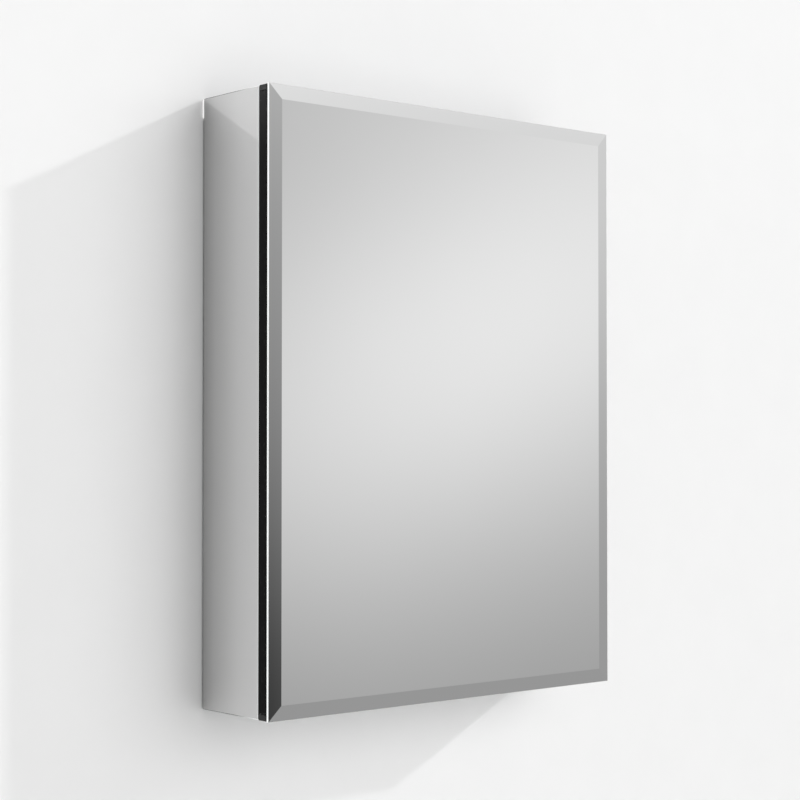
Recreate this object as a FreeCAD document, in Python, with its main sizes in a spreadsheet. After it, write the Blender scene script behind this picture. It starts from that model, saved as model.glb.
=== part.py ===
import FreeCAD, Part
import os
import Sketcher

# Wall-hung medicine cabinet: sheet-metal case, one mirrored door on pivot hinges,
# mirrored side panels and two glass shelves.
# Origin: centre of the back face, which lies on the wall. +X right, -Y towards the
# room, +Z up. Millimetres. "Depth" below means the distance from the wall.

doc = FreeCAD.newDocument("MedicineCabinet")
os.makedirs("parts", exist_ok=True)

SIZES = {
    # door glass and its bevel
    "door_width": 508, "door_height": 660, "front_depth": 120.5,
    "glass_thick": 4.2, "bevel_width": 15.9, "bevel_drop": 1.2,
    "gasket_thick": 1.8, "gasket_inset": 3, "gasket_band": 14,
    # door frame
    "frame_deep": 12.5, "frame_inset": 0.5, "frame_wall": 1.5,
    "stile_width": 20, "rail_high": 6, "corner_wide": 17.5, "corner_proud": 0.3,
    "key_play": 0.2, "key_long": 27, "key_reach": 16, "key_wide": 12,
    "inner_glass": 2.9, "inner_play": 0.5, "glue_thick": 0.1, "stile_gap": 0.8,
    "strip_pitch": 160, "strip_wide": 20, "strip_rise": 280,
    # case
    "case_width": 484, "case_height": 636, "case_front": 100, "sheet": 1.5,
    "back_sheet": 1.2, "side_lip": 7.6, "end_lip": 8, "rear_lip": 12,
    "wall_hole_span": 406.4, "wall_hole_rise": 595, "wall_hole_radius": 2.5,
    "rivet_radius": 1.55, "rivet_head": 3, "rivet_head_high": 0.8, "rivet_edge": 6,
    "angle_leg": 18, "angle_thick": 1.2, "angle_start": 44, "angle_long": 12,
    # back mirror
    "back_mirror_wide": 474, "back_mirror_high": 572, "back_mirror_start": 4,
    "back_mirror_thick": 3, "pad_wide": 40, "pad_high": 60, "pad_gap_x": 160,
    "pad_gap_z": 180,
    # shelves and their pins
    "shelf_width": 476, "shelf_start": 12, "shelf_deep": 80, "shelf_thick": 5,
    "pin_hole_radius": 2.5, "pin_shank": 2.45, "pin_rod": 2.9, "pin_collar": 4.5,
    "pin_collar_thick": 1, "pin_rod_long": 8.5, "sleeve_radius": 3.6, "sleeve_long": 6,
    "sleeve_gap": 0.5,
    "pin_near": 22, "pin_far": 78, "pin_pitch": 32, "pin_rows": 14,
    "shelf_pin_row": 112, "shelf_play": 0.05,
    # side mirrors
    "side_glass": 4, "side_back": 1.5, "side_front": 100.8, "side_front_hinge": 99.8,
    "side_height": 658.5, "spacer_high": 20, "spacer_drop": 1, "bond_thick": 1, "hat_thick": 1.2,
    "hat_start": 20, "hat_step": 14, "hat_long": 60, "hat_high": 40, "hat_rise": 250,
    "hat_screw_radius": 1.45, "hat_screw_head": 2.8, "hat_screw_head_high": 1.4,
    "hat_screw_near": 27, "hat_screw_far": 73, "screw_play": 0.05, "screw_tip": 0.8,
    # magnetic catch and bumpers
    "catch_wide": 13.5, "catch_start": 82, "catch_deep": 16.5, "catch_high": 52,
    "magnet_wide": 6, "magnet_high": 26, "magnet_long": 10, "magnet_front": 100.3,
    "fit_play": 0.1,
    "strike_wide": 10, "strike_high": 40, "strike_thick": 1.6,
    "catch_screw_rise": 19.5, "catch_screw_depth": 90, "bumper_radius": 3.4,
    "bumper_thick": 1.9, "bumper_rise": 300,
    # pivot hinges
    "pivot_side": 248.5, "pivot_depth": 109, "pivot_radius": 2, "pivot_play": 0.05,
    "arm_thick": 2.2, "arm_top": 329, "arm_inner": 222, "arm_neck": 240.5,
    "arm_outer": 249.6, "arm_back": 50, "arm_base_front": 94, "arm_eye": 3.8,
    "step_side": 240, "step_high": 2.5, "bush_radius": 3, "bush_long": 15,
    "bush_sink": 0.2, "throat_play": 0.25, "lug_clear": 0.3, "washer_clear": 0.05,
    "pin_bottom": 309, "lug_radius": 3.4, "lug_wide": 1.6, "lug_high": 1.6,
    "lug_turn": 200, "lug_room": 3.7, "stop_start": 68.5, "stop_sweep": 153,
    "washer_radius": 3.6, "washer_thick": 0.6,
    "arm_screw_side": 231, "arm_screw_near": 64, "arm_screw_far": 84,
    "arm_screw_radius": 1.95, "arm_screw_head": 3.4, "arm_screw_sink": 2,
    "nut_radius": 3.6, "nut_high": 3, "screw_past_nut": 0.5, "sink_play": 0.2,
}

table = doc.addObject("Spreadsheet::Sheet", "dims")
for row, (word, number) in enumerate(SIZES.items(), start=1):
    table.set(f"A{row}", word)
    table.set(f"B{row}", str(number))
    table.setAlias(f"B{row}", word)
doc.recompute()


class Size:
    """A length that knows both its value and the sheet expression behind it."""

    def __init__(self, text, value):
        self.text, self.value = text, float(value)

    @staticmethod
    def of(thing):
        return thing if isinstance(thing, Size) else Size(repr(thing), thing)

    def join(self, other, sign, value):
        return Size(f"({self.text} {sign} {Size.of(other).text})", value)

    def __add__(self, other):
        return self.join(other, "+", self.value + Size.of(other).value)

    def __sub__(self, other):
        return self.join(other, "-", self.value - Size.of(other).value)

    def __mul__(self, other):
        return self.join(other, "*", self.value * Size.of(other).value)

    def __truediv__(self, other):
        return self.join(other, "/", self.value / Size.of(other).value)

    def __neg__(self):
        return self * -1

    def __rsub__(self, other):
        return Size.of(other) - self

    __radd__ = __add__
    __rmul__ = __mul__


class Sheet:
    """Gives each named size as an attribute."""

    def __getattr__(self, word):
        return Size(f"dims.{word}", SIZES[word])


d = Sheet()
finished = []          # every object that is written out, one per node


def bind(thing, path, size):
    thing.setExpression(path, Size.of(size).text)


def place(thing, x=0, y=0, z=0, turn=None):
    spots = [Size.of(part) for part in (x, y, z)]
    rotation = turn if turn else FreeCAD.Rotation()
    thing.Placement = FreeCAD.Placement(FreeCAD.Vector(*[s.value for s in spots]), rotation)
    for axis, spot in zip("xyz", spots):
        bind(thing, f"Placement.Base.{axis}", spot)


def new_body(name):
    body = doc.addObject("PartDesign::Body", name)
    body.Label = name
    body.AllowCompound = True
    finished.append(body)
    return body


def origin_part(body, role):
    return next(item for item in body.Origin.OriginFeatures if item.Role == role)


def new_sketch(body, plane, offset):
    sketch = body.newObject("Sketcher::SketchObject", f"{body.Name}_outline")
    sketch.AttachmentSupport = [(origin_part(body, f"{plane}_Plane"), "")]
    sketch.MapMode = "FlatFace"
    bind(sketch, "AttachmentOffset.Base.z", offset)
    return sketch


def pin_point(sketch, line, end, spot):
    for kind, size in zip(("DistanceX", "DistanceY"), spot):
        size = Size.of(size)
        number = sketch.addConstraint(Sketcher.Constraint(kind, line, end, size.value))
        bind(sketch, f"Constraints[{number}]", size)


def draw_loop(sketch, points):
    spots = [[Size.of(part) for part in point] for point in points]
    corners = [FreeCAD.Vector(a.value, b.value, 0) for a, b in spots]
    count = len(points)
    lines = [sketch.addGeometry(Part.LineSegment(corners[i], corners[(i + 1) % count]))
             for i in range(count)]
    for i in range(count):
        sketch.addConstraint(Sketcher.Constraint("Coincident", lines[i], 2,
                                                 lines[(i + 1) % count], 1))
    for line, spot in zip(lines, spots):
        pin_point(sketch, line, 1, spot)


def draw_circle(sketch, spot, radius):
    radius = Size.of(radius)
    centre = FreeCAD.Vector(Size.of(spot[0]).value, Size.of(spot[1]).value, 0)
    ring = sketch.addGeometry(Part.Circle(centre, FreeCAD.Vector(0, 0, 1), radius.value))
    pin_point(sketch, ring, 3, spot)
    number = sketch.addConstraint(Sketcher.Constraint("Radius", ring, radius.value))
    bind(sketch, f"Constraints[{number}]", radius)


def oblong(a_low, a_high, b_low, b_high):
    return [(a_low, b_low), (a_high, b_low), (a_high, b_high), (a_low, b_high)]


def pad(body, plane, loops, start, length, circles=()):
    """Extrude closed loops and circles along the plane's normal, from `start`."""
    sketch = new_sketch(body, plane, start)
    for loop in loops:
        draw_loop(sketch, loop)
    for spot, radius in circles:
        draw_circle(sketch, spot, radius)
    solid = body.newObject("PartDesign::Pad", f"{body.Name}_pad")
    solid.Profile = sketch
    bind(solid, "Length", length)
    return solid


def cut(body, plane, loops, start, length, circles=()):
    """Cut against the plane's normal, starting at `start`."""
    sketch = new_sketch(body, plane, start)
    for loop in loops:
        draw_loop(sketch, loop)
    for spot, radius in circles:
        draw_circle(sketch, spot, radius)
    hole = body.newObject("PartDesign::Pocket", f"{body.Name}_pocket")
    hole.Profile = sketch
    bind(hole, "Length", length)
    return hole


def repeat_up(body, feature, pitch, count):
    """Repeat a feature along +Z."""
    row = body.newObject("PartDesign::LinearPattern", f"{body.Name}_row")
    row.Originals = [feature]
    row.Direction = (origin_part(body, "Z_Axis"), [""])
    body.Tip = row
    bind(row, "Length", Size.of(pitch) * (Size.of(count) - 1))
    bind(row, "Occurrences", count)
    return row


def brick(name, x, y, z):
    """Part::Box from three (low, high) pairs."""
    box = doc.addObject("Part::Box", name)
    for side, (low, high) in zip(("Length", "Width", "Height"), (x, y, z)):
        bind(box, side, Size.of(high) - low)
    place(box, x[0], y[0], z[0])
    return box


ALONG = {
    "+X": FreeCAD.Rotation(FreeCAD.Vector(0, 1, 0), 90),
    "-X": FreeCAD.Rotation(FreeCAD.Vector(0, 1, 0), -90),
    "+Y": FreeCAD.Rotation(FreeCAD.Vector(1, 0, 0), -90),
    "-Y": FreeCAD.Rotation(FreeCAD.Vector(1, 0, 0), 90),
    "+Z": FreeCAD.Rotation(),
    "-Z": FreeCAD.Rotation(FreeCAD.Vector(1, 0, 0), 180),
}


def rod(name, spot, way, start, length, radius):
    """Part::Cylinder running `way` from `spot`, beginning `start` along it."""
    bar = doc.addObject("Part::Cylinder", name)
    bind(bar, "Radius", radius)
    bind(bar, "Height", length)
    sign = 1 if way[0] == "+" else -1
    spot = [Size.of(part) for part in spot]
    index = "XYZ".index(way[1])
    spot[index] = spot[index] + Size.of(start) * sign
    place(bar, *spot, turn=ALONG[way])
    return bar


def joined(name, shapes):
    both = doc.addObject("Part::MultiFuse", name)
    both.Shapes = shapes
    return both


def without(name, base, tools):
    for number, tool in enumerate(tools):
        rest = doc.addObject("Part::Cut", f"{name}_{number}")
        rest.Base, rest.Tool = base, tool
        base = rest
    return base


def finish(thing, name):
    thing.Label = name
    finished.append(thing)
    return thing


def group(name, things):
    pack = doc.addObject("Part::Compound", name)
    pack.Links = things
    return finish(pack, name)


def turned(name, spot, way, steps):
    """A stepped round part: each step is (start, length, radius) along `way`."""
    bars = [rod(f"{name}_{i}", spot, way, *step) for i, step in enumerate(steps)]
    return joined(name, bars)


def span(sign, near, far):
    """A (low, high) pair on one side of the middle."""
    return (near, far) if sign > 0 else (-far, -near)


SIDES = (("left", -1), ("right", 1))
ENDS = (("top", 1), ("bottom", -1))

half_wide, half_high = d.door_width / 2, d.door_height / 2
case_x, case_z = d.case_width / 2, d.case_height / 2
in_x, in_z = case_x - d.sheet, case_z - d.sheet
glass_back = d.front_depth - d.glass_thick
frame_front = glass_back - d.gasket_thick
frame_back = frame_front - d.frame_deep
frame_x, frame_z = half_wide - d.frame_inset, half_high - d.frame_inset
stile_z = frame_z - d.rail_high
panel_x = half_wide - d.side_glass          # inner face of a side mirror
lip_back = d.case_front - d.sheet
rivet_x, rivet_z = in_x - d.rivet_edge, in_z - d.rivet_edge
SIDE_RIVETS, END_RIVETS = (-240, -80, 80, 240), (-150, 0, 150)

# ---------------------------------------------------------------- case shell
hat_rows = [d.hat_rise * k for k in (-1, 0, 1)]
hat_depths = (d.hat_screw_near, d.hat_screw_far)
for side, s in SIDES:
    wall = new_body(f"side_wall_{side}")
    lip_x = case_x + d.side_lip
    profile = [(in_x - d.rear_lip, d.back_sheet), (case_x, d.back_sheet), (case_x, lip_back),
               (lip_x, lip_back), (lip_x, d.case_front), (in_x, d.case_front),
               (in_x, d.back_sheet + d.sheet), (in_x - d.rear_lip, d.back_sheet + d.sheet)]
    pad(wall, "XY", [[(s * x, -y) for x, y in profile]], -in_z, in_z * 2)
    outside = case_x if s > 0 else -in_x
    first = -d.pin_pitch * (d.pin_rows - 1) / 2
    holes = cut(wall, "YZ", [], outside, d.sheet,
                [((-y, first), d.pin_hole_radius) for y in (d.pin_near, d.pin_far)])
    repeat_up(wall, holes, d.pin_pitch, d.pin_rows)
    screw_holes = [((-y, z), d.hat_screw_radius + d.screw_play)
                   for y in hat_depths for z in hat_rows]
    if side == "left":
        screw_holes += [((-d.catch_screw_depth, d.catch_screw_rise * k),
                         d.hat_screw_radius + d.screw_play) for k in (-1, 1)]
    cut(wall, "YZ", [], outside, d.sheet, screw_holes)
    cut(wall, "XZ", [], d.back_sheet + d.sheet, d.sheet,
        [((s * rivet_x, z), d.rivet_radius) for z in SIDE_RIVETS])

for end, s in ENDS:
    wall = new_body(f"{end}_wall")
    low = in_z if s > 0 else -case_z
    pad(wall, "XY", [oblong(-case_x, case_x, -lip_back, -d.back_sheet)], low, d.sheet)
    lip_x, lip_z = case_x + d.side_lip, case_z + d.end_lip
    pad(wall, "XZ", [oblong(-lip_x, lip_x, s * in_z, s * lip_z)], lip_back, d.sheet)
    tab_x = in_x - d.rear_lip - d.fit_play
    pad(wall, "XZ", [oblong(-tab_x, tab_x, s * in_z, s * (in_z - d.rear_lip))],
        d.back_sheet, d.sheet)
    cut(wall, "XZ", [], d.back_sheet + d.sheet, d.sheet,
        [((x, s * rivet_z), d.rivet_radius) for x in END_RIVETS])
    cut(wall, "XY", [], case_z if s > 0 else -in_z, d.sheet,
        [((d.arm_screw_side, -y), d.arm_screw_radius)
         for y in (d.arm_screw_near, d.arm_screw_far)])

back = new_body("back_panel")
pad(back, "XZ", [oblong(-case_x, case_x, -case_z, case_z)], 0, d.back_sheet)
rivet_spots = [(s * rivet_x, Size.of(z)) for _, s in SIDES for z in SIDE_RIVETS]
rivet_spots += [(Size.of(x), s * rivet_z) for _, s in ENDS for x in END_RIVETS]
wall_holes = [((sx * d.wall_hole_span / 2, sz * d.wall_hole_rise / 2), d.wall_hole_radius)
              for sx in (-1, 1) for sz in (-1, 1)]
cut(back, "XZ", [], d.back_sheet, d.back_sheet,
    wall_holes + [(spot, d.rivet_radius) for spot in rivet_spots])

group("case_rivets", [
    turned(f"rivet_{i}", (x, 0, z), "-Y",
           [(0, d.back_sheet + d.sheet, d.rivet_radius),
            (d.back_sheet + d.sheet, d.rivet_head_high, d.rivet_head)])
    for i, (x, z) in enumerate(rivet_spots)])

angles = new_body("corner_brackets")
tip_x, tip_z = in_x - d.angle_leg, in_z - d.angle_leg
bend_x, bend_z = in_x - d.angle_thick, in_z - d.angle_thick
angle = [(in_x, in_z), (tip_x, in_z), (tip_x, bend_z), (bend_x, bend_z), (bend_x, tip_z),
         (in_x, tip_z)]
pad(angles, "XZ", [[(sx * x, sz * z) for x, z in angle] for sx in (-1, 1) for sz in (-1, 1)],
    d.angle_start, d.angle_long)

# ---------------------------------------------------------------- inside mirror
mirror = new_body("back_mirror")
mirror_x, mirror_z = d.back_mirror_wide / 2, d.back_mirror_high / 2
pad(mirror, "XZ", [oblong(-mirror_x, mirror_x, -mirror_z, mirror_z)], d.back_mirror_start,
    d.back_mirror_thick)
pads = new_body("back_mirror_pads")
pad_x, pad_z = d.pad_wide / 2, d.pad_high / 2
pad(pads, "XZ", [oblong(d.pad_gap_x * i - pad_x, d.pad_gap_x * i + pad_x,
                        d.pad_gap_z * k - pad_z, d.pad_gap_z * k + pad_z)
                 for i in (-1, 0, 1) for k in (-1, 1)],
    d.back_sheet, d.back_mirror_start - d.back_sheet)

# ---------------------------------------------------------------- shelves
collar_x = in_x - d.pin_collar_thick
pin_depths = (d.pin_near, d.pin_far)
group("shelf_pins", [
    turned(f"pin_{side}_{i}_{k + 1}", (s * case_x, -y, d.shelf_pin_row * k),
           "-X" if s > 0 else "+X",
           [(0, d.sheet, d.pin_shank), (d.sheet, d.pin_collar_thick, d.pin_collar),
            (d.sheet + d.pin_collar_thick, d.pin_rod_long, d.pin_rod)])
    for side, s in SIDES for i, y in enumerate(pin_depths) for k in (-1, 1)])

sleeves = new_body("shelf_pin_sleeves")
for side, s in SIDES:
    start = collar_x - d.sleeve_gap - d.sleeve_long if s > 0 else d.sleeve_gap - collar_x
    spots = [(-y, d.shelf_pin_row * k) for y in pin_depths for k in (-1, 1)]
    pad(sleeves, "YZ", [], start, d.sleeve_long,
        [(spot, d.sleeve_radius) for spot in spots]
        + [(spot, d.pin_rod) for spot in spots])

for name, k in (("shelf_upper", 1), ("shelf_lower", -1)):
    shelf = new_body(name)
    shelf_x = d.shelf_width / 2
    shelf_y = d.shelf_deep / 2
    pad(shelf, "XY", [oblong(-shelf_x, shelf_x, -shelf_y, shelf_y)], 0, d.shelf_thick)
    place(shelf, 0, -(d.shelf_start + shelf_y),
          d.shelf_pin_row * k + d.sleeve_radius + d.shelf_play)

# ---------------------------------------------------------------- side mirrors
for side, s in SIDES:
    front = d.side_front if side == "left" else d.side_front_hinge
    glass = new_body(f"side_mirror_{side}")
    pad(glass, "XY", [oblong(s * panel_x, s * half_wide, -front, -d.side_back)],
        -d.side_height / 2, d.side_height)

    hats = new_body(f"side_brackets_{side}")
    t, bond_x = d.hat_thick, panel_x - d.bond_thick
    near, far = d.hat_start + d.hat_step, d.hat_start + d.hat_long - d.hat_step
    end = d.hat_start + d.hat_long
    hat = [(case_x, d.hat_start), (case_x + t, d.hat_start), (case_x + t, near),
           (bond_x, near), (bond_x, far), (case_x + t, far), (case_x + t, end),
           (case_x, end), (case_x, far - t), (bond_x - t, far - t),
           (bond_x - t, near + t), (case_x, near + t)]
    lowest = -d.hat_rise - d.hat_high / 2
    first = pad(hats, "XY", [[(s * x, -y) for x, y in hat]], lowest, d.hat_high)
    repeat_up(hats, first, d.hat_rise, 3)
    cut(hats, "YZ", [], case_x + t if s > 0 else -case_x, t,
        [((-y, z), d.hat_screw_radius + d.screw_play) for y in hat_depths for z in hat_rows])

    tapes = new_body(f"side_tape_{side}")
    first = pad(tapes, "XY", [oblong(s * bond_x, s * panel_x, -(far - 2), -(near + 2))],
                lowest + 2, d.hat_high - 4)
    repeat_up(tapes, first, d.hat_rise, 3)

spacer_top = d.side_height / 2 - d.spacer_drop
group("wall_spacers", [
    brick(f"spacer_{side}", span(s, panel_x, half_wide), (-d.side_back, 0),
          (spacer_top - d.spacer_high, spacer_top))
    for side, s in SIDES])

group("side_screws", [
    turned(f"side_screw_{side}_{i}_{k}",
           (s * (case_x + d.hat_thick + d.hat_screw_head_high), -y, z),
           "-X" if s > 0 else "+X",
           [(0, d.hat_screw_head_high, d.hat_screw_head),
            (d.hat_screw_head_high, d.hat_thick + d.sheet + d.screw_tip, d.hat_screw_radius)])
    for side, s in SIDES for i, y in enumerate(hat_depths) for k, z in enumerate(hat_rows)])

# ---------------------------------------------------------------- catch, bumpers
catch = new_body("catch_housing")
catch_in = -in_x + d.catch_wide
catch_end = d.catch_start + d.catch_deep
magnet_x = -in_x + d.catch_wide / 2
pad(catch, "XZ", [oblong(-in_x, catch_in, -d.catch_high / 2, d.catch_high / 2)],
    d.catch_start, d.catch_deep)
slot = d.magnet_wide / 2 + d.fit_play
slot_z = d.magnet_high / 2 + d.fit_play
cut(catch, "XZ", [oblong(magnet_x - slot, magnet_x + slot, -slot_z, slot_z)],
    catch_end, d.magnet_long - (d.magnet_front - catch_end))
cut(catch, "YZ", [], catch_in, d.catch_wide,
    [((-d.catch_screw_depth, d.catch_screw_rise * k), d.hat_screw_radius + d.screw_play)
     for k in (-1, 1)])

magnet = new_body("catch_magnet")
pad(magnet, "XZ", [oblong(magnet_x - d.magnet_wide / 2, magnet_x + d.magnet_wide / 2,
                          -d.magnet_high / 2, d.magnet_high / 2)],
    d.magnet_front - d.magnet_long, d.magnet_long)

group("catch_screws", [
    turned(f"catch_screw_{k + 1}", (catch_in + d.hat_screw_head_high, -d.catch_screw_depth,
                                    d.catch_screw_rise * k), "-X",
           [(0, d.hat_screw_head_high, d.hat_screw_head),
            (d.hat_screw_head_high, d.catch_wide + d.sheet + 2, d.hat_screw_radius)])
    for k in (-1, 1)])

bumpers = new_body("door_bumpers")
bumper_x = -(case_x + d.side_lip / 2)
pad(bumpers, "XZ", [], d.case_front, d.bumper_thick,
    [((bumper_x, d.bumper_rise * k), d.bumper_radius) for k in (-1, 1)])

# ---------------------------------------------------------------- pivot hinges
for end, s in ENDS:
    top, under = s * d.arm_top, s * (d.arm_top - d.arm_thick)
    low, high = (under, top) if s > 0 else (top, under)
    foot = (case_z, under) if s > 0 else (under, -case_z)
    plate = joined(f"arm_{end}_body", [
        brick(f"arm_{end}_neck", (d.arm_neck, d.arm_outer), (-d.pivot_depth, -d.arm_back),
              (low, high)),
        brick(f"arm_{end}_wing", (d.arm_inner, d.arm_neck), (-d.arm_base_front, -d.arm_back),
              (low, high)),
        brick(f"arm_{end}_foot", (d.arm_inner, d.arm_neck),
              (-d.arm_base_front + 2, -d.arm_back - 2), foot),
        rod(f"arm_{end}_eye", (d.pivot_side, -d.pivot_depth, low), "+Z", 0, d.arm_thick,
            d.arm_eye)])
    inward = "-Z" if s > 0 else "+Z"
    tools = [rod(f"arm_{end}_bore", (d.pivot_side, -d.pivot_depth, low), "+Z", 0,
                 d.arm_thick, d.pivot_radius)]
    for i, y in enumerate((d.arm_screw_near, d.arm_screw_far)):
        tools.append(turned(f"arm_{end}_hole_{i}", (d.arm_screw_side, -y, top), inward,
                            [(0, d.arm_screw_sink, d.arm_screw_head + d.sink_play),
                             (0, 16, d.arm_screw_radius)]))
    finish(without(f"arm_{end}", plate, tools), f"pivot_arm_{end}")

pins, washers, screws, nuts = [], [], [], []
shoulder = frame_z - d.rail_high + d.step_high          # top face of the pivot block
for end, s in ENDS:
    inward = "-Z" if s > 0 else "+Z"
    axis = (d.pivot_side, -d.pivot_depth, s * d.arm_top)
    shank = rod(f"pivot_{end}_shank", axis, inward, 0, d.arm_top - d.pin_bottom,
                d.pivot_radius)
    lug = brick(f"pivot_{end}_lug", (0, d.lug_radius), (-d.lug_wide / 2, d.lug_wide / 2),
                (0, d.lug_high))
    rise = shoulder - d.lug_clear - d.lug_high if s > 0 else d.lug_clear - shoulder
    swing = FreeCAD.Rotation(FreeCAD.Vector(0, 0, 1), SIZES["lug_turn"])
    offset = swing.multVec(FreeCAD.Vector(0, -SIZES["lug_wide"] / 2, 0))
    place(lug, d.pivot_side + offset.x, -d.pivot_depth + offset.y, rise, turn=swing)
    pins.append(joined(f"pivot_{end}", [shank, lug]))

    base = shoulder + d.washer_clear
    base = base if s > 0 else -base - d.washer_thick
    spot = (d.pivot_side, -d.pivot_depth, base)
    washers.append(without(f"washer_{end}",
                           rod(f"washer_{end}_disc", spot, "+Z", 0, d.washer_thick,
                               d.washer_radius),
                           [rod(f"washer_{end}_bore", spot, "+Z", 0, d.washer_thick,
                                d.pivot_radius + d.pivot_play)]))
    for i, y in enumerate((d.arm_screw_near, d.arm_screw_far)):
        head = (d.arm_screw_side, -y, s * d.arm_top)
        screws.append(turned(f"arm_screw_{end}_{i}", head, inward,
                             [(0, d.arm_screw_sink, d.arm_screw_head),
                              (0, d.arm_top - in_z + d.nut_high + d.screw_past_nut,
                               d.arm_screw_radius)]))
        inside = (d.arm_screw_side, -y, s * in_z)
        nut = doc.addObject("Part::Prism", f"nut_{end}_{i}_block")
        nut.Polygon = 6
        bind(nut, "Circumradius", d.nut_radius)
        bind(nut, "Height", d.nut_high)
        place(nut, *inside, turn=ALONG[inward])
        nuts.append(without(f"nut_{end}_{i}", nut,
                            [rod(f"nut_{end}_{i}_bore", inside, inward, 0, d.nut_high,
                                 d.arm_screw_radius)]))
group("pivot_pins", pins)
group("pivot_washers", washers)
group("pivot_screws", screws)
group("pivot_nuts", nuts)

# ---------------------------------------------------------------- door frame
channel_back, channel_front = frame_back + d.frame_wall, frame_front - d.frame_wall
stile_end = stile_z - d.stile_gap
for side, s in SIDES:
    stile = new_body(f"door_frame_{side}")
    web_x, open_x = frame_x - d.frame_wall, frame_x - d.stile_width
    profile = [(frame_x, frame_back), (open_x, frame_back), (open_x, channel_back),
               (web_x, channel_back), (web_x, channel_front), (open_x, channel_front),
               (open_x, frame_front), (frame_x, frame_front)]
    pad(stile, "XY", [[(s * x, -y) for x, y in profile]], -stile_end, stile_end * 2)

corner_x = frame_x - d.corner_wide
for end, s in ENDS:
    rail = new_body(f"door_frame_{end}")
    web_z = frame_z - d.frame_wall
    profile = [(frame_back, frame_z), (frame_front, frame_z), (frame_front, stile_z),
               (channel_front, stile_z), (channel_front, web_z), (channel_back, web_z),
               (channel_back, stile_z), (frame_back, stile_z)]
    pad(rail, "YZ", [[(-y, s * z) for y, z in profile]], -corner_x, corner_x * 2)

key_y = (-(channel_front - d.key_play), -(channel_back + d.key_play))
key_x = frame_x - d.frame_wall - d.key_play


def corner_solid(name, sx, sz, block_x, block_z, proud):
    """Corner block with one leg in the stile and one in the rail."""
    leg_x, reach_x = key_x - d.key_wide, corner_x - d.key_reach
    return [
        brick(f"{name}_block", span(sx, *block_x), (-frame_front, -(frame_back - proud)),
              span(sz, *block_z)),
        brick(f"{name}_leg", span(sx, leg_x, key_x), key_y,
              span(sz, stile_z - d.key_long, stile_z)),
        brick(f"{name}_reach", span(sx, reach_x, corner_x), key_y,
              span(sz, stile_z, frame_z - d.frame_wall - d.key_play)),
    ]


group("corner_blocks", [
    joined(f"corner_{end}", corner_solid(f"corner_{end}", -1, sz, (corner_x, frame_x),
                                         (stile_z, frame_z), d.corner_proud))
    for end, sz in ENDS])

for end, sz in ENDS:
    name = f"pivot_{end}_corner"
    solids = corner_solid(name, 1, sz, (corner_x, frame_x), (stile_z, shoulder), 0)
    solids.append(brick(f"{name}_step", (corner_x, d.step_side),
                        (-frame_front, -frame_back), span(sz, shoulder, frame_z)))
    inward = "-Z" if sz > 0 else "+Z"
    face = (d.pivot_side, -d.pivot_depth, sz * shoulder)
    deep = d.step_high + d.bush_sink
    stop = rod(f"{name}_stop", (d.pivot_side, -d.pivot_depth,
                                shoulder - deep if sz > 0 else -shoulder), "+Z", 0, deep,
               d.lug_room)
    bind(stop, "Angle", d.stop_sweep)
    stop.Placement.Rotation = FreeCAD.Rotation(FreeCAD.Vector(0, 0, 1), SIZES["stop_start"])
    tools = [turned(f"{name}_hole", face, inward, [(0, deep + 1, d.pivot_radius + d.throat_play),
                                                   (deep, d.bush_long, d.bush_radius)]),
             stop]
    finish(without(f"{name}_cut", joined(f"{name}_body", solids), tools),
           f"pivot_block_{end}")

group("pivot_bushings", [
    without(f"bush_{end}",
            rod(f"bush_{end}_body", (d.pivot_side, -d.pivot_depth, sz * shoulder),
                "-Z" if sz > 0 else "+Z", d.step_high + d.bush_sink, d.bush_long,
                d.bush_radius),
            [rod(f"bush_{end}_bore", (d.pivot_side, -d.pivot_depth, sz * shoulder),
                 "-Z" if sz > 0 else "+Z", d.step_high + d.bush_sink, d.bush_long,
                 d.pivot_radius + d.pivot_play)])
    for end, sz in ENDS])

# ---------------------------------------------------------------- door panels
inner_x = frame_x - d.stile_width - d.inner_play
inner_z = stile_z - d.inner_play
inner_back = frame_back + d.glue_thick
inner_front = inner_back + d.inner_glass
inner = new_body("inner_mirror")
pad(inner, "XZ", [oblong(-inner_x, inner_x, -inner_z, inner_z)], inner_back, d.inner_glass)

core = new_body("door_core")
pad(core, "XZ", [oblong(-inner_x, inner_x, -inner_z, inner_z)], inner_front,
    frame_front - inner_front)

strips = new_body("core_tape")
strip_x = d.strip_wide / 2
pad(strips, "XZ", [oblong(d.strip_pitch * k - strip_x, d.strip_pitch * k + strip_x,
                          -d.strip_rise, d.strip_rise) for k in (-1, 0, 1)],
    frame_front, d.gasket_thick)

gasket = new_body("mirror_gasket")
ring_x, ring_z = half_wide - d.gasket_inset, half_high - d.gasket_inset
band_x, band_z = ring_x - d.gasket_band, ring_z - d.gasket_band
pad(gasket, "XZ", [oblong(-ring_x, ring_x, -ring_z, ring_z),
                   oblong(-band_x, band_x, -band_z, band_z)],
    frame_front, d.gasket_thick)

front_glass = new_body("front_mirror")
slab = pad(front_glass, "XZ", [oblong(-half_wide, half_wide, -half_high, half_high)],
           glass_back, d.glass_thick)
doc.recompute()
bevel = front_glass.newObject("PartDesign::Chamfer", "front_mirror_bevel")
room_edges = [f"Edge{number}" for number, edge in enumerate(slab.Shape.Edges, start=1)
              if all(abs(v.Point.y + SIZES["front_depth"]) < 1e-6 for v in edge.Vertexes)]
bevel.Base = (slab, room_edges)
bevel.ChamferType = "Two distances"
bind(bevel, "Size", d.bevel_drop)
bind(bevel, "Size2", d.bevel_width)

strike = new_body("strike_plate")
pad(strike, "XZ", [oblong(magnet_x - d.strike_wide / 2, magnet_x + d.strike_wide / 2,
                          -d.strike_high / 2, d.strike_high / 2)],
    frame_back - d.strike_thick, d.strike_thick)

# ---------------------------------------------------------------- check and write
doc.recompute()
for item in doc.Objects:
    if "Invalid" in item.State or "Error" in item.State:
        raise RuntimeError(f"{item.Label}: {item.State}")

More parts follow.
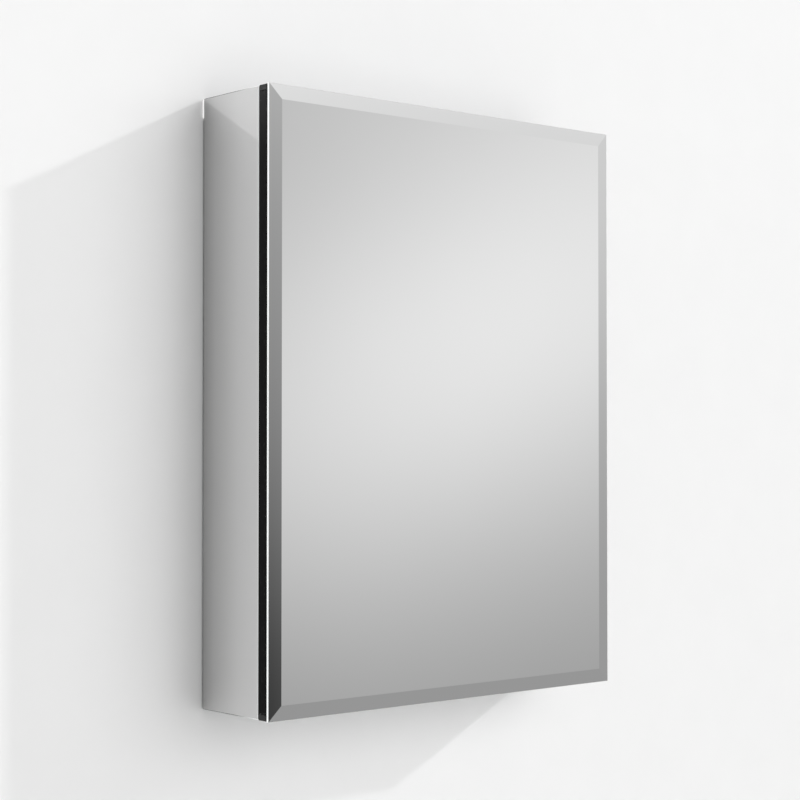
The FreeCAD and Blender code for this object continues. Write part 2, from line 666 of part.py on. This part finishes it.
corners = [v.Point for v in front_glass.Shape.Vertexes]
flat = [point for point in corners if abs(point.y + SIZES["front_depth"]) < 1e-6]
widest = max(point.x for point in flat)
if abs(widest - (SIZES["door_width"] / 2 - SIZES["bevel_width"])) > 1e-3:
    raise RuntimeError(f"the bevel lies the wrong way round: flat field reaches x={widest}")

for item in finished:
    shape = item.Shape
    if shape.isNull() or not shape.isValid():
        raise RuntimeError(f"{item.Label}: bad shape")
    shape.exportStep(f"parts/{item.Label}.step")
    box = shape.BoundBox
    print(f"{item.Label:22s} solids {len(shape.Solids):3d}  x {box.XMin:8.2f} {box.XMax:8.2f}"
          f"  y {box.YMin:8.2f} {box.YMax:7.2f}  z {box.ZMin:8.2f} {box.ZMax:8.2f}"
          f"  volume {shape.Volume:11.1f}")
print(len(finished), "nodes")
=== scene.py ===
"""Looks for the mirrored medicine cabinet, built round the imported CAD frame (metres)."""

import math
from collections import namedtuple

import bmesh
import bpy
from mathutils import Matrix, Vector


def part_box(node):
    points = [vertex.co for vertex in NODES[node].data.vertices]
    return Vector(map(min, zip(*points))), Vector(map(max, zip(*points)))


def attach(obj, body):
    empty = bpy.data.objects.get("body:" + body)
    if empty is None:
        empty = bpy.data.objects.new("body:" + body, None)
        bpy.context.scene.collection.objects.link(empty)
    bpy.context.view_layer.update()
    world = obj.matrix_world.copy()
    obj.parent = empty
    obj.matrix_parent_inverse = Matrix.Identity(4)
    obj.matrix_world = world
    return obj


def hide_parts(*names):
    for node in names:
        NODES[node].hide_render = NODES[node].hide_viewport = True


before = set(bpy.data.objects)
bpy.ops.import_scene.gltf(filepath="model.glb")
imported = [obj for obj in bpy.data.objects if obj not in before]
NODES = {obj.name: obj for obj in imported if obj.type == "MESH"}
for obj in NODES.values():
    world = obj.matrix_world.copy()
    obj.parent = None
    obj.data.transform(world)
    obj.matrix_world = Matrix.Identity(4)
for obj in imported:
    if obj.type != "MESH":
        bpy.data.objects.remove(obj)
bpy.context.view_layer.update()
MM = 0.001


# ------------------------------------------------------------------ node helpers
class Shader:
    """A node tree with a Principled shader and short calls to add to it."""

    def __init__(self, name, **sockets):
        self.mat = bpy.data.materials.new(name)
        self.mat.use_nodes = True
        self.tree = self.mat.node_tree
        self.bsdf = self.tree.nodes["Principled BSDF"]
        self.place = self.node("ShaderNodeTexCoord").outputs["Object"]
        for socket, value in sockets.items():
            self.set(self.bsdf, socket.replace("_", " "), value)

    def node(self, kind, **facts):
        made = self.tree.nodes.new(kind)
        for fact, value in facts.items():
            setattr(made, fact, value)
        return made

    def set(self, node, socket, value):
        spot = next(s for s in node.inputs if s.name.lower() == socket.lower())
        if isinstance(value, bpy.types.NodeSocket):
            self.tree.links.new(value, spot)
        elif isinstance(value, tuple) and len(value) == 3 and spot.type == "RGBA":
            spot.default_value = (*value, 1)
        else:
            spot.default_value = value

    def scaled(self, scale):
        """Object coordinates stretched by (x, y, z)."""
        mapping = self.node("ShaderNodeMapping")
        self.set(mapping, "Vector", self.place)
        self.set(mapping, "Scale", scale)
        return mapping.outputs["Vector"]

    def noise(self, scale=1.0, detail=4.0, stretch=(1, 1, 1), rough=0.55):
        node = self.node("ShaderNodeTexNoise")
        self.set(node, "Vector", self.scaled(stretch))
        self.set(node, "Scale", scale)
        self.set(node, "Detail", detail)
        self.set(node, "Roughness", rough)
        return node.outputs["Fac"]

    def ramp(self, fac, *stops):
        """Colour ramp from (position, colour) pairs."""
        node = self.node("ShaderNodeValToRGB")
        self.set(node, "Fac", fac)
        elements = node.color_ramp.elements
        while len(elements) < len(stops):
            elements.new(0.5)
        for element, (position, colour) in zip(elements, stops):
            element.position = position
            element.color = (*colour, 1)
        return node.outputs["Color"]

    def along(self, axis, start, end):
        """0 at `start` to 1 at `end` (metres) along X, Y or Z of the object."""
        split = self.node("ShaderNodeSeparateXYZ")
        self.set(split, "Vector", self.place)
        return self.span(split.outputs[axis], 0.0, 1.0, start, end)

    def maths(self, kind, *values):
        node = self.node("ShaderNodeMath", operation=kind)
        for spot, value in zip(node.inputs, values):
            if isinstance(value, bpy.types.NodeSocket):
                self.tree.links.new(value, spot)
            else:
                spot.default_value = value
        return node.outputs[0]

    def weave(self, first, second, share):
        """`first` with `share` of `second` in it."""
        return self.maths("ADD", self.maths("MULTIPLY", first, 1 - share),
                          self.maths("MULTIPLY", second, share))

    def span(self, fac, low, high, inlow=0.3, inhigh=0.7):
        node = self.node("ShaderNodeMapRange")
        for socket, value in (("Value", fac), ("From Min", inlow), ("From Max", inhigh),
                              ("To Min", low), ("To Max", high)):
            self.set(node, socket, value)
        return node.outputs["Result"]

    def bump(self, height, strength, distance):
        node = self.node("ShaderNodeBump")
        self.set(node, "Height", height)
        self.set(node, "Strength", strength)
        self.set(node, "Distance", distance)
        self.set(self.bsdf, "Normal", node.outputs["Normal"])


FINE_LINE_DEPTH = 0.05 * MM
WIPE_STRETCH = (9, 9, 2.5)  # haze drawn out upwards


def tint(colour, factor):
    return tuple(min(1.0, c * factor) for c in colour)


def paint(name, colour, rough, vary=0.06, grain=900, bump=0.08, depth=0.1 * MM, **sockets):
    """Moulded or painted surface: soft colour clouds, fine grain and uneven sheen."""
    sh = Shader(name, **sockets)
    cloud = sh.noise(14, 5)
    sh.set(sh.bsdf, "Base Color", sh.ramp(cloud, (0.3, tint(colour, 1 - vary)),
                                         (0.7, tint(colour, 1 + vary))))
    sh.set(sh.bsdf, "Roughness", sh.span(sh.noise(60, 3), rough - 0.04, rough + 0.05))
    sh.bump(sh.noise(grain, 3), bump, depth)
    return sh.mat


def brushed(name, colour, rough, stretch):
    """Metal with fine drawn lines; the small number in `stretch` is the line direction."""
    sh = Shader(name, Metallic=1.0)
    lines = sh.noise(1.0, 6, stretch, 0.7)
    vary = 0.07
    sh.set(sh.bsdf, "Base Color", sh.ramp(lines, (0.3, tint(colour, 1 - vary)),
                                         (0.7, tint(colour, 1 + vary))))
    sh.set(sh.bsdf, "Roughness", sh.span(lines, rough - 0.06, rough + 0.08))
    sh.bump(lines, 0.12, FINE_LINE_DEPTH)
    return sh.mat


def silver(name, colour):
    """Silvered glass: a faint uneven tint and a little haze where it has been wiped."""
    sh = Shader(name, Metallic=1.0)
    sh.set(sh.bsdf, "Base Color", sh.ramp(sh.noise(3.2, 2), (0.3, tint(colour, 0.992)),
                                         (0.7, tint(colour, 1.008))))
    haze = sh.noise(1.0, 4, WIPE_STRETCH, 0.6)
    sh.set(sh.bsdf, "Roughness", sh.span(haze, 0.012, 0.024))
    return sh.mat


def side_silver():
    """Silvered side panel with painted shade: dimmer where it runs back to the wall, standing in
    for the shadow it reflects there.
    """
    sh = Shader("side_mirror_silver", Metallic=1.0)
    # painted shade: the silvering is given a darker colour towards the wall
    depth = sh.weave(sh.along("Y", 0.0, -0.065), sh.noise(3.2, 2), 0.04)
    sh.set(sh.bsdf, "Base Color", sh.ramp(depth, (0.0, (0.5, 0.5, 0.5)),
                                         (0.35, (0.64, 0.64, 0.64)),
                                         (1.0, (0.71, 0.71, 0.71))))
    haze = sh.noise(1.0, 4, WIPE_STRETCH, 0.6)
    sh.set(sh.bsdf, "Roughness", sh.span(haze, 0.006, 0.014))
    return sh.mat


def glowing_edge():
    """Polished glass edge with painted light. Its left edge glows, standing in for light that
    enters at the right of the glass and comes out at its left edge, and the edges next to the wall
    are painted dark, standing in for shade there."""
    sh = Shader("glass_edge", Specular_IOR_Level=0.8)
    cloud = sh.noise(40, 2)
    front = sh.along("Y", -0.06, -0.1)
    left = sh.maths("MULTIPLY", front, sh.along("X", -0.2, -0.25))
    # painted shade: edges near the wall get a dark colour, bright towards the front
    sh.set(sh.bsdf, "Base Color", sh.ramp(sh.weave(front, cloud, 0.04), (0.1, (0.06, 0.075, 0.07)),
                                         (0.9, (0.93, 0.945, 0.94))))
    # painted glow: the left edges give off light of their own
    sh.set(sh.bsdf, "Emission Color", sh.ramp(sh.weave(left, cloud, 0.04), (0.1, (0.0, 0.0, 0.0)),
                                             (0.9, (0.98, 1.0, 0.99))))
    sh.set(sh.bsdf, "Emission Strength", 0.4)
    sh.set(sh.bsdf, "Roughness", sh.span(sh.noise(60, 3), 0.1, 0.16))
    return sh.mat


def anodised(name, stretch):
    """Satin black extrusion with fine die lines, and a painted highlight: greyer towards the top.
    """
    sh = Shader(name, Metallic=1.0)
    lines = sh.noise(1.0, 6, stretch, 0.7)
    # painted highlight: the colour lightens towards the top, where light falls on it
    shade = sh.weave(sh.along("Z", 0.05, 0.33), lines, 0.2)
    sh.set(sh.bsdf, "Base Color", sh.ramp(shade, (0.05, (0.0035, 0.0035, 0.0037)),
                                         (0.5, (0.0045, 0.0045, 0.0047)),
                                         (0.7, (0.008, 0.008, 0.0083)),
                                         (0.9, (0.027, 0.027, 0.028))))
    sh.set(sh.bsdf, "Roughness", sh.span(lines, 0.28, 0.42))
    sh.bump(lines, 0.12, FINE_LINE_DEPTH)
    return sh.mat


def moulded_black():
    """Nylon corner block: fine moulded grain, with painted light making the upper ones a little
    greyer.
    """
    sh = Shader("black_nylon")
    # painted light: the upper blocks are given a lighter colour
    shade = sh.weave(sh.along("Z", -0.3, 0.3), sh.noise(300, 4), 0.2)
    sh.set(sh.bsdf, "Base Color", sh.ramp(shade, (0.05, (0.002, 0.002, 0.0022)),
                                         (0.9, (0.008, 0.008, 0.0083))))
    sh.set(sh.bsdf, "Roughness", sh.span(sh.noise(60, 3), 0.4, 0.5))
    sh.bump(sh.noise(1800, 3), 0.12, 0.1 * MM)
    return sh.mat


# ------------------------------------------------------------------ materials
FOAM_DEPTH = 0.3 * MM
MIRROR = silver("mirror_silver", (0.893, 0.894, 0.893))
BEVEL = silver("mirror_bevel", (0.89, 0.892, 0.891))
SIDE_MIRROR_PAINTED_SHADE = side_silver()
GLASS_EDGE_PAINTED_LIGHT = glowing_edge()
BACKING = paint("mirror_backing", (0.36, 0.38, 0.4), 0.5, 0.05, 700, 0.1)
BLACK = anodised("black_anodised", (1500, 1500, 12))
BLACK_RAIL = anodised("black_anodised_rail", (12, 1500, 1500))
PAINTED_EDGE = paint("painted_glass_edge", (0.02, 0.021, 0.021), 0.5, 0.1, 700, 0.1)
BLACK_BLOCK = moulded_black()
FOAM_BLACK = paint("black_foam", (0.008, 0.008, 0.009), 0.9, 0.3, 2500, 0.5, FOAM_DEPTH)
FOAM_WHITE = paint("white_foam", (0.78, 0.78, 0.75), 0.9, 0.06, 2500, 0.5, FOAM_DEPTH)
ALU_UP = brushed("aluminium_sheet_up", (0.76, 0.77, 0.78), 0.32, (1400, 1400, 10))
ALU_ACROSS = brushed("aluminium_sheet_across", (0.76, 0.77, 0.78), 0.32, (10, 1400, 1400))
ZINC = paint("zinc_plate", (0.62, 0.63, 0.66), 0.34, 0.1, 500, 0.1, Metallic=1.0)
NICKEL = paint("bright_nickel", (0.8, 0.79, 0.77), 0.13, 0.05, 900, 0.05, Metallic=1.0)
GREY = paint("grey_plastic", (0.34, 0.35, 0.36), 0.45, 0.05, 1600, 0.12)
MAGNET = paint("magnet_black", (0.05, 0.05, 0.053), 0.55, 0.2, 1200, 0.2)
# painted glow: the white spacers give off light of their own, standing in for light leaking
# through the gap behind the side mirrors
SPACER_PAINTED_GLOW = paint("white_spacer_painted_glow", (0.93, 0.93, 0.92), 0.4, 0.02, 1400, 0.06,
               Emission_Color=(1.0, 1.0, 0.99), Emission_Strength=0.5)
ACETAL = paint("natural_acetal", (0.8, 0.8, 0.77), 0.4, 0.03, 1400, 0.06)
BOARD = paint("core_board", (0.72, 0.72, 0.7), 0.85, 0.06, 900, 0.3)
CLEAR_SOFT = paint("clear_silicone", (0.86, 0.88, 0.88), 0.28, 0.04, 900, 0.05,
                   Transmission_Weight=0.6, IOR=1.41)


def clear_glass(name, colour, transmission, rough=0.01):
    sh = Shader(name, Transmission_Weight=transmission, IOR=1.5)
    sh.set(sh.bsdf, "Base Color", sh.ramp(sh.noise(8, 2), (0.3, tint(colour, 0.985)),
                                         (0.7, tint(colour, 1.01))))
    sh.set(sh.bsdf, "Roughness", sh.span(sh.noise(20, 3), rough, rough + 0.015))
    return sh.mat


SHELF_FACE = clear_glass("shelf_glass", (0.95, 0.985, 0.97), 1.0)
SHELF_EDGE = clear_glass("shelf_edge", (0.3, 0.62, 0.5), 0.45, 0.06)


# ------------------------------------------------------------------ CAD nodes
WELD_REACH = 0.01 * MM


def dress(names, *mats):
    """Put the materials on every CAD node named in one spaced string."""
    for name in names.split():
        slots = NODES[name].data.materials
        slots.clear()
        for mat in mats:
            slots.append(mat)


def by_face(name, mats, choose):
    """Give each face of a CAD node the slot that `choose(normal)` returns."""
    dress(name, *mats)
    for face in NODES[name].data.polygons:
        face.material_index = choose(face.normal)


def soften(names, width_mm, segments=2, angle=40, edge_slot=-1):
    """Break sharp edges so that they catch the light."""
    for name in names.split():
        weld = NODES[name].modifiers.new("joined_faces", "WELD")
        weld.merge_threshold = WELD_REACH
        mod = NODES[name].modifiers.new("broken_edge", "BEVEL")
        mod.harden_normals = True
        mod.width = width_mm * MM
        mod.segments = segments
        mod.limit_method = "ANGLE"
        mod.angle_limit = math.radians(angle)
        mod.material = edge_slot


def glass_slots(axis, out):
    """Slots by where a face points: 0 silvered face towards `out` along `axis`, 1 bevel,
    2 edge, 3 painted back."""
    def choose(normal):
        lean = normal[axis] * out
        if lean > 0.999:
            return 0
        if lean > 0.5:
            return 1
        return 3 if lean < -0.5 else 2
    return choose


def panel_slots(out):
    """As glass_slots, with the edge that meets the door painted."""
    plain = glass_slots(0, out)
    return lambda normal: 1 if normal.y < -0.9 else plain(normal)


def face_slots(axis):
    """Slot 0 for the broad faces across `axis`, slot 1 for the edges round them."""
    return lambda normal: 0 if abs(normal[axis]) > 0.9 else 1


by_face("front_mirror", (MIRROR, BEVEL, GLASS_EDGE_PAINTED_LIGHT, BACKING), glass_slots(1, -1))
for side, out in (("left", -1), ("right", 1)):
    panel = f"side_mirror_{side}"
    by_face(panel, (SIDE_MIRROR_PAINTED_SHADE, PAINTED_EDGE, GLASS_EDGE_PAINTED_LIGHT, BACKING), panel_slots(out))
by_face("inner_mirror", (MIRROR, BEVEL, GLASS_EDGE_PAINTED_LIGHT, BACKING), glass_slots(1, 1))
by_face("back_mirror", (MIRROR, BEVEL, GLASS_EDGE_PAINTED_LIGHT, BACKING), glass_slots(1, -1))
by_face("shelf_upper", (SHELF_FACE, SHELF_EDGE), face_slots(2))
by_face("shelf_lower", (SHELF_FACE, SHELF_EDGE), face_slots(2))
dress("door_frame_left door_frame_right", BLACK)
dress("door_frame_top door_frame_bottom", BLACK_RAIL)
dress("corner_blocks pivot_block_top pivot_block_bottom", BLACK_BLOCK)
dress("mirror_gasket core_tape side_tape_left side_tape_right", FOAM_BLACK)
dress("back_mirror_pads", FOAM_WHITE)
dress("side_wall_left side_wall_right", ALU_UP)
dress("top_wall bottom_wall back_panel", ALU_ACROSS)
dress("case_rivets shelf_pins", NICKEL)
dress("corner_brackets side_brackets_left side_brackets_right side_screws catch_screws "
      "pivot_arm_top pivot_arm_bottom pivot_pins pivot_screws pivot_nuts strike_plate", ZINC)
dress("catch_housing", GREY)
dress("catch_magnet", MAGNET)
dress("pivot_washers pivot_bushings", ACETAL)
dress("wall_spacers", SPACER_PAINTED_GLOW)
dress("shelf_pin_sleeves door_bumpers", CLEAR_SOFT)
dress("door_core", BOARD)
soften("front_mirror", 0.25, 2, 25)
soften("side_mirror_left side_mirror_right", 0.7, 1, 40, 2)
soften("shelf_upper shelf_lower", 0.8, 3)
soften("corner_blocks pivot_block_top pivot_block_bottom", 0.25)
soften("door_frame_left door_frame_right door_frame_top door_frame_bottom", 0.2)
soften("catch_housing", 0.5)
soften("pivot_arm_top pivot_arm_bottom", 0.3)


# ------------------------------------------------------------------ pieces
SHARP_ANGLE = math.radians(35)
CUT_ABOVE = 0.4 * MM
THREAD_PITCH = 0.7 * MM
THREAD_HALF = 0.35 * MM
SCREW_HEAD = 3.4 * MM
SCREW_HEAD_HIGH = 2.0 * MM
SCREW_SHANK = 1.95 * MM
SCREW_LONG = 10 * MM


def piece(name, mesh, mat, body, slot, *nodes):
    """A finished mesh as a piece that stands for CAD nodes."""
    made = bpy.data.objects.new(name, mesh)
    mesh.materials.append(mat)
    bpy.context.scene.collection.objects.link(made)
    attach(made, body)
    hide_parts(*nodes)


def lathe(bm, profile, steps=32):
    """Solid of revolution about Z from (radius, height) points, open ends closed on the axis."""
    rings = []
    for radius, height in profile:
        if radius == 0:
            rings.append([bm.verts.new((0, 0, height))])
            continue
        turns = [math.tau * k / steps for k in range(steps)]
        rings.append([bm.verts.new((radius * math.cos(t), radius * math.sin(t), height))
                      for t in turns])
    for low, high in zip(rings, rings[1:]):
        for k in range(steps):
            corners = (low[k % len(low)], low[(k + 1) % len(low)],
                       high[(k + 1) % len(high)], high[k % len(high)])
            bm.faces.new(list(dict.fromkeys(corners)))
    return bm


def arc(radius, start, end, centre=(0, 0), steps=6):
    """(radius, height) points along an arc, in degrees from the rim direction."""
    turns = [math.radians(start + (end - start) * k / steps) for k in range(steps + 1)]
    return [(centre[0] + radius * math.cos(t), centre[1] + radius * math.sin(t)) for t in turns]


def to_mesh(bm, name):
    """The finished mesh, smooth but for its sharp edges."""
    bmesh.ops.recalc_face_normals(bm, faces=bm.faces)
    mesh = bpy.data.meshes.new(name)
    bm.to_mesh(mesh)
    bm.free()
    mesh.shade_smooth()
    mesh.set_sharp_from_angle(angle=SHARP_ANGLE)
    return mesh


def cross_cutter(reach, wide, deep):
    """A tapered cross, its top at height 0, for the driver recess."""
    bm = bmesh.new()
    for across in (0, 1):
        top = [(reach, wide), (-reach, wide), (-reach, -wide), (reach, -wide)]
        foot = [(x * 0.45, y * 0.6) for x, y in top]
        loops = []
        for outline, height in ((top, CUT_ABOVE), (foot, -deep)):
            points = [(y, x) if across else (x, y) for x, y in outline]
            loops.append([bm.verts.new((x, y, height)) for x, y in points])
        bm.faces.new(loops[0])
        bm.faces.new(loops[1])
        for k in range(4):
            following = (k + 1) % 4
            bm.faces.new((loops[0][k], loops[0][following], loops[1][following], loops[1][k]))
    return to_mesh(bm, "cutter")


def cut_away(mesh, cutter):
    """The mesh with the cutter's shape taken out of it."""
    work = bpy.data.objects.new("work", mesh)
    tool = bpy.data.objects.new("tool", cutter)
    for made in (work, tool):
        bpy.context.scene.collection.objects.link(made)
    mod = work.modifiers.new("cut", "BOOLEAN")
    mod.operation = "DIFFERENCE"
    mod.solver = "EXACT"
    mod.object = tool
    mod.use_self = True
    graph = bpy.context.evaluated_depsgraph_get()
    result = bpy.data.meshes.new_from_object(work.evaluated_get(graph))
    for made in (work, tool):
        bpy.data.objects.remove(made)
    result.set_sharp_from_angle(angle=SHARP_ANGLE)
    return result


def cross_screw(head, high, shank, length):
    """Screw along -Z with its head's underside at 0 and a slightly rounded rim."""
    soft = 0.25 * MM
    profile = [(0, -length), (shank * 0.55, -length), (shank, -length + shank * 0.6)]
    threads = int((length - shank) / THREAD_PITCH)
    for k in range(threads):
        foot = -length + shank * 0.6 + (k + 0.25) * (length - shank) / threads
        profile += [(shank * 0.84, foot), (shank, foot + THREAD_HALF)]
    profile += [(shank, 0), (head, 0)]
    profile += arc(soft, 0, 90, (head - soft, high - soft))
    profile += [(head * 0.3, high), (0, high)]
    body = to_mesh(lathe(bmesh.new(), profile), "screw")
    cutter = cross_cutter(head * 0.62, head * 0.15, high * 0.62)
    cutter.transform(Matrix.Translation((0, 0, high)))
    return cut_away(body, cutter)


def screw_set(name, node, body, make, axis, spots):
    """One screw mesh set at every (centre, outward sign) spot along `axis`."""
    bm = bmesh.new()
    for k, (centre, sign) in enumerate(spots):
        mesh = make.copy()
        spin = Matrix.Rotation(0.5 + 1.3 * k, 4, "Z")  # each recess stops at its own angle
        point = Vector([sign if i == axis else 0 for i in range(3)])
        turn = point.to_track_quat("Z", "Y").to_matrix().to_4x4()
        mesh.transform(Matrix.Translation(centre) @ turn @ spin)
        bm.from_mesh(mesh)
        bpy.data.meshes.remove(mesh)
    mesh = bpy.data.meshes.new(name)
    bm.to_mesh(mesh)
    bm.free()
    piece(name, mesh, ZINC, body, "steel", node)


def pivot_screws():
    """The four screws of the pivot arms, with driver recesses and threads."""
    low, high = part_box("pivot_screws")
    screw = cross_screw(SCREW_HEAD, SCREW_HEAD_HIGH, SCREW_SHANK, SCREW_LONG)
    across = low.x + SCREW_HEAD
    seat = high.z - SCREW_HEAD_HIGH
    spots = [(Vector((across, y, end * seat)), end)
             for y in (low.y + SCREW_HEAD, high.y - SCREW_HEAD) for end in (1, -1)]
    screw_set("pivot_cross_screws", "pivot_screws", "case", screw, 2, spots)


def door_bumpers():
    """Two domed clear buttons where the door's frame lands."""
    low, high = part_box("door_bumpers")
    radius = (high.x - low.x) / 2
    tall = high.y - low.y
    rim = tall * 0.3
    profile = [(0, 0), (radius, 0), (radius, rim)]
    profile += [(radius * math.cos(t), rim + (tall - rim) * math.sin(t))
                for t in (0.25, 0.55, 0.85, 1.15, 1.35)]
    profile += [(0, tall)]
    tip_over = Matrix.Rotation(math.pi / 2, 4, "X")
    bm = bmesh.new()
    for z in (low.z + radius, high.z - radius):
        mesh = to_mesh(lathe(bmesh.new(), profile), "dome")
        mesh.transform(Matrix.Translation((low.x + radius, high.y, z)) @ tip_over)
        bm.from_mesh(mesh)
        bpy.data.meshes.remove(mesh)
    mesh = bpy.data.meshes.new("bumper_domes")
    bm.to_mesh(mesh)
    bm.free()
    piece("bumper_domes", mesh, CLEAR_SOFT, "case", "clear_soft", "door_bumpers")


pivot_screws()
door_bumpers()


# ------------------------------------------------------------------ stage
LOW = -1.45
TOP = 2.2
REACH = 3.2
DEEP = -3.0
WALL_AT = 0.0006
HOLE_MARGIN = 0.004


def stage_piece(name, corners, faces, mat):
    """A flat piece of the studio, not part of the object."""
    mesh = bpy.data.meshes.new(name)
    mesh.from_pydata(corners, [], faces)
    mesh.materials.append(mat)
    made = bpy.data.objects.new(name, mesh)
    bpy.context.scene.collection.objects.link(made)


def one_sided(mat):
    """Lets light and cameras through from behind."""
    tree = mat.node_tree
    mix = tree.nodes.new("ShaderNodeMixShader")
    see = tree.nodes.new("ShaderNodeBsdfTransparent")
    geo = tree.nodes.new("ShaderNodeNewGeometry")
    out = tree.nodes["Material Output"]
    tree.links.new(geo.outputs["Backfacing"], mix.inputs["Fac"])
    tree.links.new(tree.nodes["Principled BSDF"].outputs["BSDF"], mix.inputs[1])
    tree.links.new(see.outputs["BSDF"], mix.inputs[2])
    tree.links.new(mix.outputs["Shader"], out.inputs["Surface"])
    return mat


WALL = one_sided(paint("wall_paint", (0.9, 0.9, 0.9), 0.7, 0.006, 240, 0.05, 0.2 * MM,
                       Specular_IOR_Level=0.1))
FLOOR = one_sided(paint("floor_paint", (0.72, 0.72, 0.71), 0.7, 0.01, 60, 0.05))


def wall():
    """The wall, open where the case's back covers it so that its back can be seen and lit."""
    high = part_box("back_panel")[1]
    hole_x = high.x - HOLE_MARGIN
    hole_z = high.z - HOLE_MARGIN
    across = (-REACH, -hole_x, hole_x, REACH)
    up = (LOW, -hole_z, hole_z, TOP)
    spots = [(x, WALL_AT, z) for z in up for x in across]
    cells = [(i + 4 * k, i + 1 + 4 * k, i + 5 + 4 * k, i + 4 + 4 * k)
             for i in range(3) for k in range(3) if (i, k) != (1, 1)]
    stage_piece("stage_wall", spots, cells, WALL)


wall()
stage_piece("stage_floor", [(-REACH, DEEP, LOW), (REACH, DEEP, LOW), (REACH, WALL_AT, LOW),
                            (-REACH, WALL_AT, LOW)], [(0, 1, 2, 3)], FLOOR)


def aim(heading, height):
    """Unit vector for degrees from straight out of the door towards +X, and degrees up."""
    turn = math.radians(heading)
    rise = math.radians(height)
    level = math.cos(rise)
    return Vector((math.sin(turn) * level, -math.cos(turn) * level, math.sin(rise)))


def soft_light(name, heading, height, spread, power):
    """A distant diffuser, `spread` degrees across. Polished surfaces don't show it."""
    light = bpy.data.lights.new(name, "SUN")
    light.angle = math.radians(spread)
    light.energy = power
    made = bpy.data.objects.new(name, light)
    made.rotation_euler = aim(heading, height).to_track_quat("Z", "Y").to_euler()
    made.visible_glossy = False
    bpy.context.scene.collection.objects.link(made)


soft_light("key_light", 63, 24, 1.8, 0.84)
soft_light("right_diffuser", 30, 10, 50, 0.73)
soft_light("front_diffuser", 0, 10, 50, 0.7)
soft_light("floor_bounce", 10, -35, 50, 0.72)


# ------------------------------------------------------------------ surroundings
BASE_GLOW = 0.34
LEAST_GLOW = 0.03
Bank = namedtuple("Bank", "heading height long short tilt glow")
BANKS = (
    Bank(40, 24, 40, 11, 0, 0.65),      # wide softbox overhead
    Bank(44, 3.5, 15, 7.5, 25, 0.52),   # strip light in front of the door, tipped to the right
    Bank(26, -7, 7, 11, 0, -0.4),       # dark flag, low on the left
)


def surroundings():
    """A grey studio with soft bright banks. Each bank is a smooth lobe in heading (degrees
    from straight out of the door towards +X) and height (degrees above level)."""
    world = bpy.data.worlds.new("studio")
    bpy.context.scene.world = world
    world.use_nodes = True
    tree = world.node_tree
    links = tree.links

    def math_node(kind, *values):
        node = tree.nodes.new("ShaderNodeMath")
        node.operation = kind
        for i, value in enumerate(values):
            if isinstance(value, bpy.types.NodeSocket):
                links.new(value, node.inputs[i])
            else:
                node.inputs[i].default_value = value
        return node.outputs[0]

    way = tree.nodes.new("ShaderNodeTexCoord").outputs["Generated"]
    split = tree.nodes.new("ShaderNodeSeparateXYZ")
    links.new(way, split.inputs[0])
    x, y, z = split.outputs
    to_degrees = math.degrees(1)
    heading = math_node("MULTIPLY", math_node("ARCTAN2", x, math_node("MULTIPLY", y, -1.0)),
                        to_degrees)
    height = math_node("MULTIPLY", math_node("ARCSINE", z), to_degrees)
    total = BASE_GLOW
    for bank in BANKS:
        dx = math_node("SUBTRACT", heading, bank.heading)
        dz = math_node("SUBTRACT", height, bank.height)
        c = math.cos(math.radians(bank.tilt))
        s = math.sin(math.radians(bank.tilt))
        u = math_node("ADD", math_node("MULTIPLY", dx, c / bank.long),
                      math_node("MULTIPLY", dz, s / bank.long))
        v = math_node("ADD", math_node("MULTIPLY", dx, -s / bank.short),
                      math_node("MULTIPLY", dz, c / bank.short))
        fall = math_node("ADD", math_node("MULTIPLY", u, u), math_node("MULTIPLY", v, v))
        lobe = math_node("EXPONENT", math_node("MULTIPLY", fall, -1.0))
        total = math_node("ADD", math_node("MULTIPLY", lobe, bank.glow), total)
    total = math_node("MAXIMUM", total, LEAST_GLOW)
    links.new(total, tree.nodes["Background"].inputs["Strength"])
    tree.nodes["Background"].inputs["Color"].default_value = (1, 1, 1, 1)


surroundings()

# ------------------------------------------------------------------ camera
LOOK_UP = 1.21
LOOK_RIGHT = 40.664
camera = bpy.data.cameras.new("camera")
camera.lens = 83.4
camera.sensor_width = 36
camera.clip_start = 0.05
eye = bpy.data.objects.new("camera", camera)
eye.location = (-1.395, -1.655, -0.039)
eye.rotation_euler = (math.radians(90 + LOOK_UP), 0, math.radians(-LOOK_RIGHT))
bpy.context.scene.collection.objects.link(eye)
bpy.context.scene.camera = eye
bpy.context.scene.view_settings.view_transform = "Standard"
